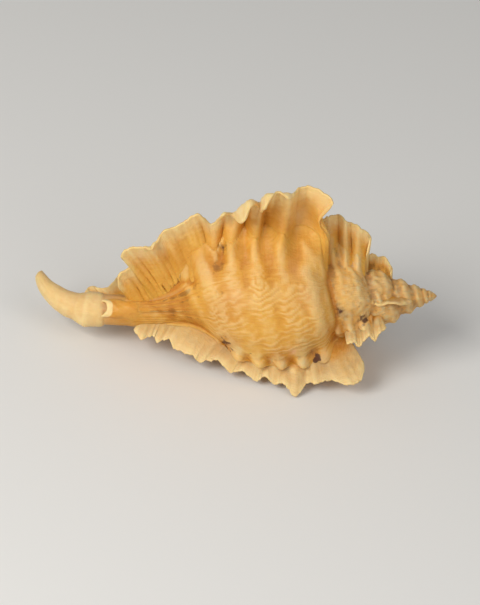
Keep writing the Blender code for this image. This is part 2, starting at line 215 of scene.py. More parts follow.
def plain_radius(angle, along, rough=None):
    """Distance from the axis, or from the canal's middle, to the outside of the shell without its wings."""
    past_lip = np.mod(angle - LIP_ANGLE, 360)
    growth = last_growth(angle)
    radius = smooth_curve(along, SPIRE_CORE) * (along < SPIRE_CORE[-1][0])
    for turn in range(TURNS):
        radius = np.maximum(radius, whorl_radius(growth - 360 * turn, along, rough))
    lip = whorl_radius(np.full_like(growth, LIP_ANGLE), along)
    radius += np.maximum(lip - radius, 0) * (1 - smooth_step(0, LIP_FALL, past_lip))
    radius *= (1 + SPIRE_SWELL * (1 - smooth_step(2, 10, along))) * (1 - smooth_step(NECK_START, NECK_END, along))
    return np.maximum(radius, smooth_curve(along, CANAL_RADIUS))


def last_growth(angle):
    """The growth angle of the newest whorl that passes this angle round the axis."""
    return LIP_ANGLE - np.mod(LIP_ANGLE - angle, 360)


def half_turned(angle):
    """The same angle, from -180 to 180."""
    return np.mod(angle + 180, 360) - 180


def shell_points(along, across, angle):
    """Points of the shell's frame, from the place along the axis, the distance from it and the angle."""
    return np.stack([along, across * np.cos(np.radians(angle)), across * np.sin(np.radians(angle))], -1)


def canal_points(along, across, angle):
    """As shell_points, but about the middle of the canal, with each ring square to it."""
    offset = smooth_curve(along, CANAL_OFFSET)
    slope = np.arctan((smooth_curve(along + 0.1, CANAL_OFFSET) - smooth_curve(along - 0.1, CANAL_OFFSET)) / 0.2)
    turned = np.radians(angle - BEND_ANGLE)
    bend = offset + across * np.cos(turned) * np.cos(slope)
    side = across * np.sin(turned)
    forward = along - across * np.cos(turned) * np.sin(slope)
    c, s = math.cos(math.radians(BEND_ANGLE)), math.sin(math.radians(BEND_ANGLE))
    return np.stack([forward, bend * c - side * s, bend * s + side * c], -1)


# %% [markdown]
# ## Marks that follow the surface
#
# A worn shell isn't one colour, and light and shade are painted in too: the hollows get a deep amber that is
# painted shade, the crests get cream that is painted highlight, the rims are cream, and the pits are browner.
# Each vertex gets a few masks, numbers from 0 to 1, and the material mixes its colours by them.
# The hollows come from the mesh itself: where a blurred copy of the surface lies outside the surface,
# the surface is hollow there. Painting by hand would be slower, and would have to be done again after
# each change of the shape. Single marks are placed one by one, each as a spot with its place along
# the axis, its height, its size and its strength, and noise bends its outline. Most are stains, but one
# cream spot, over the upper hollow of the second wing, is painted highlight.

# %% Masks
MASKS = ("cream_and_highlight", "amber_and_shade", "brown_stain_and_shade", "maroon", "grey", "pink")
SPOT_WARP, SPOT_WARP_SIZE = 0.7, 0.9
SPOT_FADE = (-1, 1.5)
SPOTS = {
    "maroon": [(12.6, -3.4, 0.8, 1.0), (36.0, -6.0, 0.9, 0.9), (35.0, -7.4, 0.7, 0.5), (20.9, -9.3, 1.0, 1.0),
               (16.4, -1.7, 1.0, 0.55), (31.9, -8.2, 0.5, 0.6), (17.8, 0.6, 0.5, 0.4), (35.4, 9.8, 0.7, 0.45)],
    "brown_stain_and_shade": [(16.4, -1.7, 2.0, 0.8), (15.5, -6.2, 0.8, 0.6), (36.4, 6.6, 1.6, 0.7), (36.8, 2.4, 1.4, 0.6),
              (35.5, 9.6, 1.3, 0.6), (17.0, 8.6, 1.4, 0.7), (12.6, 3.0, 1.6, 0.5), (46.1, 10.6, 1.3, 0.6),
              (13.8, 8.0, 1.2, 0.5), (38.6, 10.6, 1.2, 0.45), (20.2, -9.9, 1.6, 0.6), (10.2, 5.0, 1.0, 0.5),
              (37.0, 12.0, 2.2, 0.4), (38.0, 5.0, 2.4, 0.4), (40.5, 9.0, 2.0, 0.35), (11.5, 10.5, 1.4, 0.5),
              (13.5, 12.0, 1.2, 0.5), (19.0, 13.5, 1.0, 0.4), (28.6, -9.6, 0.9, 0.5), (24.0, -10.6, 0.9, 0.5),
              (21.6, -8.6, 1.2, 0.6), (23.6, -8.8, 0.8, 0.5), (19.4, -7.6, 0.8, 0.5), (15.4, -2.6, 1.8, 0.5)],
    "amber_and_shade": [(17.6, -4.9, 2.6, 0.8), (35.6, -6.4, 2.4, 0.9), (20.0, -10.4, 2.2, 0.9), (25.4, 13.0, 1.8, 0.6),
              (31.6, 12.6, 1.2, 0.7), (28.4, 13.4, 1.2, 0.6), (27.0, -9.2, 2.6, 0.6), (6.4, -2.2, 2.4, 0.7),
              (37.5, 7.0, 3.4, 0.5), (42.0, 7.5, 3.0, 0.45), (36.0, -1.0, 4.0, 0.45)],
    "grey": [(23.2, -10.0, 0.9, 0.9), (26.4, -10.0, 0.7, 0.6), (22.6, -7.6, 1.8, 0.35), (14.9, 9.6, 1.4, 0.4),
             (9.6, 2.4, 1.6, 0.5), (5.4, 0.8, 1.4, 0.4), (13.0, 0.6, 1.8, 0.5)],
    "pink": [(24.8, -8.2, 0.7, 0.9), (21.6, 1.0, 3.0, 0.25), (34.0, 1.8, 2.0, 0.2), (23.6, 4.6, 2.6, 0.2),
             (56.0, 1.4, 3.0, 0.5), (49.0, 9.6, 1.2, 0.4)],
    # The last cream spot, over the upper hollow of the second wing, is painted highlight that lifts its shade.
    "cream_and_highlight": [(56.9, -0.8, 0.9, 0.9), (33.9, -7.6, 1.2, 0.8), (37.0, -4.4, 0.8, 0.5), (24.9, -11.5, 0.8, 0.6),
              (22.3, -11.4, 0.7, 0.6), (28.2, -9.6, 0.7, 0.5), (30.6, -8.8, 0.6, 0.5), (31.0, 0.5, 1.6, 0.3),
              (27.0, 1.5, 1.8, 0.3), (20.0, 4.0, 1.6, 0.3), (19.5, -4.0, 1.2, 0.3), (23.4, 15.0, 2.6, 0.4)],
}


def spotted(points, kind):
    """How much of each spot of one kind falls on the side that shows best, over points of the shell's frame."""
    along, near, up = np.moveaxis(points, -1, 0)
    along = along + SPOT_WARP * lumps(points, SPOT_WARP_SIZE, 11.0)
    up = up + SPOT_WARP * lumps(points, SPOT_WARP_SIZE, 23.0)
    mark = np.zeros(along.shape)
    for at, height, size, strength in SPOTS[kind]:
        far = ((along - at) ** 2 + (up - height) ** 2) / size ** 2
        mark = np.maximum(mark, strength * np.exp(-1.4 * far) * smooth_step(*SPOT_FADE, near))
    return mark


def with_spots(points, masks):
    return {kind: np.maximum(mask, spotted(points, kind)).ravel() for kind, mask in masks.items()}


def blurred(grid, times, around):
    """The grid of points, averaged with its neighbours that many times."""
    for _ in range(times):
        wide = np.pad(grid, ((1, 1), (0, 0), (0, 0)), "edge")
        grid = (wide[:-2] + 2 * wide[1:-1] + wide[2:]) / 4
        wide = np.pad(grid, ((0, 0), (1, 1), (0, 0)), "wrap" if around else "edge")
        grid = (wide[:, :-2] + 2 * wide[:, 1:-1] + wide[:, 2:]) / 4
    return grid


def outward(grid, around):
    """The unit normal at each point of a grid, square to its rows and columns."""
    down = np.gradient(grid, axis=0)
    if around:
        across = (np.roll(grid, -1, 1) - np.roll(grid, 1, 1)) / 2
    else:
        across = np.gradient(grid, axis=1)
    normal = np.cross(across, down)
    return normal / np.maximum(np.linalg.norm(normal, axis=-1, keepdims=True), 1e-9)


def hollowness(grid, times, depth, around=False):
    """1 in a hollow of that depth in millimetres, -1 on a crest as high."""
    rise = ((blurred(grid, times, around) - grid) * outward(grid, around)).sum(-1)
    return np.clip(rise / depth, -1, 1)


def piece(name, points, faces, masks, grown):
    """A mesh object from points of the shell's frame, with its masks and its growth coordinates."""
    mesh = bpy.data.meshes.new(name)
    placed = laid_down(points) + apex
    placed[:, 2] = np.maximum(placed[:, 2], 0)
    mesh.from_pydata((placed * MM).tolist(), [], faces)
    for mask in MASKS:
        value = np.clip(masks.get(mask, 0) + np.zeros(len(points)), 0, 1).astype(np.float32)
        mesh.attributes.new(mask, "FLOAT", "POINT").data.foreach_set("value", value)
    vector = mesh.attributes.new("grown", "FLOAT_VECTOR", "POINT")
    vector.data.foreach_set("vector", np.asarray(grown, np.float32).ravel())
    mesh.polygons.foreach_set("use_smooth", [True] * len(mesh.polygons))
    obj = bpy.data.objects.new(name, mesh)
    bpy.context.scene.collection.objects.link(obj)
    return obj


def grid_faces(rings, points):
    """Faces between the rings of a grid of vertices, each ring closed round."""
    ring, point = np.meshgrid(np.arange(rings - 1), np.arange(points), indexing="ij")
    right = (point + 1) % points
    corners = [ring * points + point, ring * points + right, (ring + 1) * points + right, (ring + 1) * points + point]
    return np.stack(corners, -1).reshape(-1, 4).tolist()


def capped_faces(rings, points):
    """As grid_faces, with a cap over the first ring and one over the last."""
    caps = [list(range(points))[::-1], [(rings - 1) * points + i for i in range(points)]]
    return grid_faces(rings, points) + caps


print("stains:", {kind: len(spots) for kind, spots in SPOTS.items()})


# %% [markdown]
# ## The wings
#
# A wing is a thin fluted sheet, like a leaf of lettuce. Each is made from a short list of ribs, from its
# suture end to its canal end: where the rib's root and rim lie along the axis, how far the rim is from
# the axis, and how far its middle and rim are folded. A cloth or a wave modifier would give frills in
# the wrong places, and here each flute has to meet a cord of the whorl below it.
#
# In some hollows the rim rolls right over towards the viewer as a tongue. So the sheet doesn't end at
# its highest line: it goes on round a small roll, whose length is given by a second short list.
#
# Besides its ribs each wing says where it stands round the axis (angle), how wide its foot is (web), how
# far it leans (curl), how deep its folds are (fluting) and how jagged its edge is (teeth). What only one
# or two wings have, such as the twist of the lip's wing along the neck, is zero unless a wing sets it.

# %% The ribs
PLAIN_WING = {"fluting": 1.0, "twist": 0.0, "pleats": 0.0, "notch": 0.0, "buttress": 0.2, "leading": 0.0,
              "teeth": 0.25, "tongues": [], "rows": 14, "steps": 12}
WINGS = {
    "lip": {
        "angle": 168.0, "web": 6.0, "curl": 1.5, "fluting": 1.2, "twist": -24.0, "buttress": 0.5, "leading": 0.3,
        "rows": 30, "steps": 10,
        "ribs": [(22.0, 20.4, 20.4, 0.6, 1.2), (23.6, 21.8, 22.6, -0.8, -0.6), (26.4, 24.6, 22.2, 0.7, 0.2),
                 (29.0, 27.6, 23.6, -0.8, 0.9), (31.2, 29.8, 22.6, 0.7, -0.2), (33.4, 32.2, 23.9, -0.8, 0.9),
                 (35.4, 34.4, 22.4, 0.7, -0.2), (37.6, 36.8, 23.3, -0.8, 0.8), (39.6, 39.2, 21.0, 0.7, -0.2),
                 (41.6, 41.8, 20.6, -0.6, 0.7), (43.6, 44.2, 17.6, 0.6, -0.2), (45.2, 46.6, 15.8, -0.4, 0.5),
                 (46.8, 48.8, 11.8, 0.4, -0.1), (48.6, 51.2, 8.2, -0.2, 0.2), (50.4, 53.3, 8.4, 0.0, 0.3),
                 (52.4, 55.4, 4.8, 0.0, 0.0), (54.8, 58.2, 4.9, 0.0, 0.2), (57.0, 59.4, 3.2, 0.0, 0.0)]},
    "second": {
        "angle": 56.0, "web": 6.0, "curl": 1.2, "fluting": 1.6, "pleats": 0.5, "notch": 1.9, "buttress": 0.5,
        "teeth": 0.2, "rows": 36, "steps": 10,
        "tongues": [(32.0, 1.5, 4.8), (28.4, 1.3, 3.6), (24.4, 1.1, 2.0), (35.3, 1.0, 1.0), (47.0, 1.0, 1.6)],
        "ribs": [(18.6, 17.1, 21.0, 0.7, 1.6), (19.8, 17.6, 21.8, 0.3, 0.6), (22.0, 20.5, 22.8, -0.9, -1.1),
                 (24.4, 22.6, 22.9, -0.8, -0.8), (26.4, 24.0, 23.4, 1.0, 0.8), (28.0, 26.2, 24.2, -0.3, 1.6),
                 (29.2, 28.2, 23.8, -0.9, 1.4), (30.8, 29.3, 21.4, 0.8, 0.0), (32.6, 31.0, 23.2, -1.0, 1.7),
                 (34.6, 33.5, 19.8, 0.8, 0.1), (35.8, 35.2, 20.4, -0.7, 1.0), (36.8, 37.2, 17.2, 0.5, -0.2),
                 (37.8, 39.3, 19.8, -0.4, 0.7), (38.8, 41.4, 18.4, 0.3, 0.3), (40.0, 43.5, 17.2, -0.4, 0.3),
                 (41.2, 45.1, 16.8, 0.5, 0.6), (42.4, 46.3, 14.6, -0.5, -0.3), (43.8, 48.2, 14.2, 0.5, 0.9),
                 (45.2, 51.1, 13.9, -0.3, 0.9), (46.4, 52.4, 12.0, 0.3, 0.4), (47.6, 50.9, 9.5, -0.3, -0.4),
                 (49.4, 53.0, 8.6, 0.2, 0.5), (51.4, 53.2, 5.4, 0.0, 0.0)]},
    "third": {
        "angle": -68.0, "web": 0.8, "curl": 0.5, "fluting": 0.5, "buttress": 0.5, "leading": 1.0, "teeth": 0.42,
        "rows": 30, "steps": 10,
        "ribs": [(15.8, 15.0, 8.6, 0.0, 0.1), (16.5, 13.2, 11.4, 0.0, 0.3), (17.4, 13.9, 14.2, 0.0, 0.0),
                 (18.8, 15.7, 15.0, -0.3, -0.3), (20.4, 18.9, 14.0, -0.2, 0.1), (21.6, 21.2, 14.4, -0.4, -0.2),
                 (22.8, 22.8, 14.2, 0.6, 0.2), (24.2, 24.7, 16.4, -0.3, 0.1), (26.0, 26.6, 14.1, 0.7, -0.2),
                 (27.4, 28.2, 13.9, -0.5, 0.3), (28.8, 29.4, 12.8, 0.7, -0.2), (30.0, 31.2, 13.2, -0.5, 0.3),
                 (31.2, 33.2, 11.6, 0.6, -0.2), (32.6, 35.2, 11.4, -0.3, 0.3), (34.4, 37.4, 9.4, 0.2, -0.2),
                 (36.4, 40.3, 9.6, -0.2, 0.2), (38.4, 41.6, 8.0, 0.2, -0.2), (40.4, 44.3, 6.9, -0.1, 0.2),
                 (42.6, 45.3, 5.1, 0.1, -0.1), (44.8, 47.2, 5.4, 0.0, 0.2), (46.6, 48.0, 4.2, 0.0, 0.0),
                 (48.2, 49.7, 4.8, 0.0, 0.1), (49.8, 51.2, 3.2, 0.0, 0.0)]},
    "fourth": {
        "angle": -180.0, "web": 2.0, "curl": 0.3, "buttress": 0.3, "leading": 0.5, "teeth": 0.3,
        "rows": 18, "steps": 10,
        "ribs": [(14.0, 12.6, 10.4, 0.2, 0.3), (15.2, 13.6, 12.2, -0.3, -0.3), (16.8, 15.8, 12.6, 0.3, 0.4),
                 (18.4, 18.0, 11.8, -0.3, -0.4), (20.0, 20.4, 12.2, 0.3, 0.4), (21.8, 22.6, 11.4, -0.2, -0.3),
                 (24.0, 24.4, 9.8, 0.0, 0.2)]},
    "fifth": {
        "angle": 68.0, "web": 3.0, "curl": 0.8, "fluting": 1.4, "buttress": 0.3, "teeth": 0.35, "rows": 22,
        "ribs": [(12.0, 11.7, 8.4, 0.3, 0.6), (12.5, 11.0, 11.4, -0.2, -0.2), (13.3, 12.9, 13.6, 0.4, 0.5),
                 (14.2, 14.1, 13.9, -0.5, -0.3), (15.2, 15.0, 14.9, 0.5, 0.5), (16.2, 16.2, 15.6, -0.5, -0.3),
                 (17.4, 17.8, 15.6, 0.4, 0.4), (18.8, 19.6, 14.4, 0.0, 0.0)]},
    "sixth": {
        "angle": -48.0, "web": 0.6, "curl": 0.2, "fluting": 0.8, "buttress": 0.9, "leading": 0.8, "teeth": 0.35,
        "rows": 18,
        "ribs": [(10.0, 9.0, 6.2, 0.0, 0.1), (10.6, 10.2, 7.7, -0.2, -0.2), (11.5, 11.0, 8.7, 0.3, 0.3),
                 (12.3, 12.0, 8.1, -0.3, -0.3), (13.0, 12.9, 9.0, 0.1, 0.1), (13.8, 13.8, 9.9, 0.3, 0.3),
                 (14.8, 14.6, 9.3, -0.3, -0.3), (16.2, 15.8, 9.4, 0.0, 0.0)]},
    "seventh": {
        "angle": 200.0, "web": 1.0, "curl": 0.2, "leading": 0.5,
        "ribs": [(8.8, 8.2, 6.4, 0.0, 0.2), (9.8, 9.6, 7.8, 0.0, -0.3), (11.2, 11.2, 8.0, 0.0, 0.3),
                 (12.6, 13.0, 7.6, 0.0, -0.2), (14.0, 14.6, 7.0, 0.0, 0.0)]},
    "eighth": {
        "angle": 86.0, "web": 1.2, "curl": 0.3, "fluting": 1.2,
        "ribs": [(7.7, 7.7, 3.8, 0.0, 0.2), (8.0, 7.5, 5.1, 0.0, -0.1), (8.7, 8.4, 6.7, 0.0, 0.3),
                 (9.6, 9.5, 7.0, 0.0, -0.3), (10.6, 10.9, 7.6, 0.0, 0.3), (12.0, 12.2, 7.0, 0.0, 0.0)]},
    "ninth": {
        "angle": -8.0, "web": 0.5, "curl": 0.1, "fluting": 0.8, "buttress": 0.3, "leading": 0.6, "teeth": 0.2,
        "ribs": [(5.8, 4.4, 3.6, 0.0, 0.0), (6.8, 6.0, 5.2, 0.0, 0.2), (8.2, 8.2, 5.9, 0.0, -0.2),
                 (9.6, 9.8, 5.9, 0.0, 0.1), (10.6, 10.8, 5.2, 0.0, 0.0)]},
}
YOUNG_WINGS = ("lip", "second", "third")
for name, wing in WINGS.items():
    WINGS[name] = {**PLAIN_WING, "early": 0.0 if name in YOUNG_WINGS else 1.0, **wing}
print("ribs:", {name: len(wing["ribs"]) for name, wing in WINGS.items()})

# %% [markdown]
# ## Where a wing grows out of the whorl
#
# On the side that grew first a wing doesn't stand on the whorl like a fence on a lawn: the whorl sweeps up
# into it, and its flutes begin low down on the whorl. So the wing's foot is worked out twice, from the same
# numbers: as part of the sheet, and as a rise of the whorl below it. Low down the sheet is sunk a little,
# so that the whorl covers it, and the two meet where they run the same way, so that no seam shows. A bevel
# or a remesh could hide the seam too, but both would blur the flutes.

# %% The foot of a wing
ROOT_DEPTH, ROOT_FLARE, ROOT_THICKNESS, RIM_THICKNESS = 1.3, 0.9, 0.95, 0.42
FOOT_LEAST, FOOT_POWER, FOOT_TOP = 2.0, 2.6, 0.45
FOOT_REACH = (-0.3, 1.1)
FOOT_END = 45.0
FOOT_HIGHEST, FOOT_BLEND, FOOT_SINK, FOOT_MARGIN = 6.0, 1.2, 1.0, 0.28
WEB_FADE, WEB_LEFT = (38, 45), 0.15
FLUTE_TOP = 0.5
ROUNDS = 14


def has_foot(wing):
    """Whether the whorl rises into this wing."""
    return wing["web"] > FOOT_LEAST


def rib_curves(wing, index):
    """Root, rim, reach, fold and lip at places between the ribs."""
    ribs = np.array(wing["ribs"])
    return [smooth_curve(index, list(enumerate(rib))) for rib in ribs.T]


def foot_of(wing, angle, root):
    """How far the foot stands off the wing's own plane, and how far from the axis the sheet begins."""
    spread = 0 * root
    for _ in range(4):
        foot = plain_radius(angle - spread, root)
        spread = np.degrees(np.arcsin(np.clip(wing["web"] / foot, 0, 0.45)))
    web = foot * np.sin(np.radians(spread)) * (1 - (1 - WEB_LEFT) * smooth_step(*WEB_FADE, root))
    return web, foot * np.cos(np.radians(spread)) - ROOT_DEPTH * (1 - 0.7 * smooth_step(2, 4, web))


def flute_depth(wing, out, rim):
    """How much of a rib's fold shows at each share of the way out."""
    shape = plateau((0, FLUTE_TOP), (FLUTE_TOP, 1), out)
    return wing["fluting"] * shape * (1 - 0.45 * smooth_step(36, 42, rim))


def half_thickness(out):
    """Half the sheet's thickness at each share of the way out."""
    return 0.5 * (RIM_THICKNESS + (ROOT_THICKNESS - RIM_THICKNESS) * (1 - out) + ROOT_FLARE * (1 - out) ** 4)


def foot_radius(wing, angle, along, whorl):
    """The whorl's radius, raised where the foot of the wing covers it.

    The rise is found by rounds: from how far round a point stands comes how far out on the wing it is, and
    from that the wing's height there, its fold, and the rib it lies on, which give a better place again.
    """
    index = np.linspace(0, len(wing["ribs"]) - 1, 200)
    root, rim, reach, fold, _ = rib_curves(wing, index)
    web, inner = foot_of(wing, wing["angle"] + 0 * root, root)
    before = np.radians(half_turned(wing["angle"] - angle))
    near = (before > FOOT_REACH[0]) & (before < FOOT_REACH[1])
    rise, out, start = whorl.copy(), 0 * whorl, along.copy()
    for _ in range(ROUNDS):
        start = 0.5 * start + 0.5 * (along - out * np.interp(start, root, rim - root))
        web_at, inner_at, reach_at, fold_at, rim_at = (
            np.interp(start, root, value) for value in (web, inner, reach, fold, rim))
        lean = fold_at * flute_depth(wing, out, rim_at) + wing["curl"] * out ** 2
        across = rise * np.sin(before) - lean - half_thickness(out)
        share = np.clip(across / np.maximum(web_at, 0.1), 0, 1)
        out = 0.5 * out + 0.5 * np.minimum(1 - share ** (1 / FOOT_POWER), FOOT_TOP)
        rise = (inner_at + (reach_at - inner_at) * out) / np.maximum(np.cos(before), 0.3)
    beyond = np.maximum(rise * np.sin(before) - np.interp(along, root, web) - half_thickness(0), 0)
    rise -= 1.5 * beyond + FOOT_MARGIN * smooth_step(0.05, FOOT_TOP, out)
    last = min(root[-1], FOOT_END)
    ends = plateau((root[0] - 0.6, root[0] + 0.8), (0.9 * last, last), along)
    above = np.clip(rise - whorl, 0, FOOT_HIGHEST)
    above = above ** 2 / (above + FOOT_BLEND) + FOOT_BLEND * smooth_step(0, 2, above)
    inside = near & (rise * np.sin(before) > lean - 0.1)
    return np.where(inside, whorl + above * ends, whorl)


print("feet on:", [name for name, wing in WINGS.items() if has_foot(wing)])

# %% [markdown]
# ## What colours the whorls
#
# The canal is pale, the neck has brown and cream lines that flow towards the canal, and the old whorls of
# the spire are grey and specked with dirt. Light and shade are painted in as well: amber in the furrows and
# hollows and brown in the furrows of the neck are painted shade, and cream on the ripples and crests is
# painted highlight. So the masks ask two things of each point: which part of the shell it is on, and how
# hollow it is there.

# %% Masks of the whorls
SPIRE_END, CANAL_START = (13, 19), (54, 58)
EARLY_PLACE, EARLY_ALONG = 21.5, 24.0
SPECK_SIZE, SPECK_STEEPNESS = 0.7, 2.2


def whorl_masks(points, angle, along, hollow, fine, flow):
    """Masks from the part of the shell, the broad and fine hollows, and the lines along the neck."""
    place = along / WHORL_GROWTH ** ((last_growth(angle) - LIP_ANGLE) / 360)
    crest, furrow = np.clip(-fine, 0, 1), np.clip(fine, 0, 1)
    spire = 1 - smooth_step(*SPIRE_END, along)
    body = smooth_step(21, 24, place) * (1 - smooth_step(46, 52, along))
    neck = plateau((40, 45), (54, 57), along)
    canal = smooth_step(*CANAL_START, along)
    early = (place < EARLY_PLACE) & (along < EARLY_ALONG)
    speck = SPECK_STEEPNESS * lumps(points, SPECK_SIZE, 13.0)
    # Cream on the crests and broad rises is painted highlight; amber in the hollows and furrows and brown in the
    # neck's furrows are painted shade, and the early part is browner in its hollows.
    cream_and_highlight = (0.2 + 0.16 * body) * crest + 0.6 * canal + 0.1 * np.clip(-hollow, 0, 1)
    cream_and_highlight = cream_and_highlight + 0.3 * neck * np.clip(-flow, 0, 1) + 0.16 * early
    amber_and_shade = 0.9 * np.clip(1.2 * hollow, 0, 1) + (0.22 + 0.2 * body) * furrow + 0.25 * neck
    brown_stain_and_shade = 0.4 * early * smooth_step(-0.2, 0.6, hollow) + 0.1 * early + 0.55 * spire * np.clip(speck - 0.2, 0, 1)
    brown_stain_and_shade = brown_stain_and_shade + 1.1 * np.clip(flow, 0, 1) * plateau((38, 42), (49, 53), along)
    brown_stain_and_shade = brown_stain_and_shade + 0.3 * furrow * plateau((31, 37), (44, 48), along)
    grey = spire * (0.3 * np.clip(0.3 - fine, 0, 1) + 0.6 * np.clip(-speck - 0.1, 0, 1))
    return with_spots(points, {"cream_and_highlight": cream_and_highlight, "amber_and_shade": amber_and_shade * (1 - 0.6 * canal), "brown_stain_and_shade": brown_stain_and_shade, "grey": grey,
                               "pink": 0.3 * canal + 0.1 * spire, "maroon": 0 * cream_and_highlight})


print("the spire's colours end", SPIRE_END[1], "mm from the apex, and the canal's start at", CANAL_START[0], "mm")

# %% [markdown]
# ## The whorls
#
# The whorls are one closed surface of rings round the axis, much like a turned vase whose radius changes
# with the angle. A screw modifier could sweep the profile round, but each whorl would then cover the one
# before in full, and the rings here only keep what shows from outside.
#
# Smaller marks are added to the radius at the end: the seams between the whorls of the spire, lines that
# flow along the neck, the slit of the canal, and the two collars and the nub where the canal was mended.

# %% Make the whorls
RING_POINTS, SPIRE_RINGS, BODY_RINGS = 400, 96, 144
TIP_START, TIP_ROUNDING = 0.35, 0.5
GRAIN_RADIUS = 14.3
ROUGH_HEIGHT, PIT_HEIGHT, SPIRE_PIT_HEIGHT = 0.16, 0.03, 0.2
SUTURE_DEPTH = 0.3
FLOW_HEIGHT = 0.2
SLIT_ANGLE, SLIT_SPREAD, SLIT_START, SLIT_DEPTH = 236.0, 12.0, 40.5, 0.9
COLLARS = [((56.0, 56.3), (59.1, 59.4), 0.16), ((56.0, 57.0), (60.3, 60.6), 0.12)]
NUB_PLACE, NUB_ANGLE, NUB_LENGTH, NUB_SPREAD, NUB_HEIGHT = 59.3, -62.0, 0.9, 26.0, 0.55


def sutures(angle, along):
    """1 along the seam between two whorls, 0 midway between two seams."""
    turns = np.log(along / PROFILE[0][0]) / math.log(WHORL_GROWTH) - (last_growth(angle) - LIP_ANGLE) / 360
    return (0.5 + 0.5 * np.cos(2 * math.pi * turns)) ** 3


def canal_relief(angle, along):
    slit = np.exp(-half_turned(angle - SLIT_ANGLE) ** 2 / (0.5 * SLIT_SPREAD) ** 2)
    relief = -SLIT_DEPTH * slit * smooth_step(SLIT_START, SLIT_START + 2, along)
    for rise, fall, height in COLLARS:
        relief += height * plateau(rise, fall, along)
    nub = ((along - NUB_PLACE) / NUB_LENGTH) ** 2 + (half_turned(angle - NUB_ANGLE) / NUB_SPREAD) ** 2
    return relief + NUB_HEIGHT * np.exp(-nub)


def make_whorls():
    spire = np.linspace(TIP_START, PROFILE[0][0], SPIRE_RINGS, endpoint=False)
    body = np.linspace(PROFILE[0][0], CANAL_OFFSET[-1][0], BODY_RINGS)
    along, angle = np.meshgrid(np.append(spire, body), np.linspace(0, 360, RING_POINTS, endpoint=False),
                               indexing="ij")
    smooth = plain_radius(angle, along)
    plain = canal_points(along, smooth, angle)
    rough = lumps(plain, 4.0, 3.1) + 0.35 * lumps(plain, 1.5, 9.4)
    bare = plain_radius(angle, along, rough)
    radius = bare.copy()
    for wing in WINGS.values():
        if has_foot(wing):
            radius = foot_radius(wing, angle, along, radius)
    # The feet are smooth, so the ripples of the bare whorl are let run out onto them.
    lifted = smooth_step(0.1, 0.8, radius - bare)
    veiled = smooth_step(0.8, 4.0, radius - bare)
    radius += 0.8 * (bare - smooth) * lifted * (1 - veiled)
    pits = PIT_HEIGHT + SPIRE_PIT_HEIGHT * (1 - smooth_step(12, 20, along))
    radius += ROUGH_HEIGHT * rough + pits * lumps(plain, 0.9, 7.7) * smooth_step(0, 1.5, along)
    radius -= SUTURE_DEPTH * sutures(angle, along) * plateau((0.4, 1.6), (6, 10), along)
    radius += canal_relief(angle, along)
    flow = lumps(shell_points(0.1 * along, 0 * along + GRAIN_RADIUS, angle), 1.5, 5.0)
    radius += FLOW_HEIGHT * flow * plateau((36, 42), (49, 53), along)
    points = canal_points(along, radius, angle)
    # The broad hollows and fine crests drive the painted shade and painted highlight of the masks.
    hollow = hollowness(points, 60, 0.5, around=True) * (1 - 0.8 * lifted)
    fine = hollowness(points, 6, 0.05, around=True) * (1 - veiled)
    masks = whorl_masks(points, angle, along, hollow, fine, flow)
    masks = {kind: np.append(mask, [mask[0], mask[-1]]) for kind, mask in masks.items()}
    grown = shell_points(along, 0 * along + GRAIN_RADIUS, angle).reshape(-1, 3)
    end = points[-1].mean(0)
    ahead = end - points[-2].mean(0)
    ends = [[0, 0, 0], end + TIP_ROUNDING * ahead / np.linalg.norm(ahead)]
    tip = points.size // 3
    faces = grid_faces(len(points), RING_POINTS)
    for column in range(RING_POINTS):
        right = (column + 1) % RING_POINTS
        faces.append([tip, right, column])
        faces.append([tip + 1, tip - RING_POINTS + column, tip - RING_POINTS + right])
    return piece("whorls", np.vstack([points.reshape(-1, 3), ends]), faces, masks,
                 np.vstack([grown, grown[:1], grown[-1:]]))


whorls = make_whorls()
print("whorls:", len(whorls.data.polygons), "faces")

# %% [markdown]
# ## What colours a wing
#
# A wing is cream at its rim, where it is thin and worn, and amber in its flutes, which is painted shade, and
# its fine crests get cream as painted highlight. On the side that grew first its foot takes the colours of
# the whorl that rises into it, so that no border shows, and at the apex end of the young wings that side
# gets less of the painted shade. The other side, which was the inside of the lip while it grew, is
# smoother and greyer, and old wings are brown, browner in their hollows. One material for each wing could
# do the same, but masks let a single material serve the whole shell.

# %% Masks of a wing
RIM_PART = (0.55, 1.0)
FOOT_PART = (0.35, 0.85)
TOP_PART = (21, 28)
LOW_BROWN_PART = (36, 41)


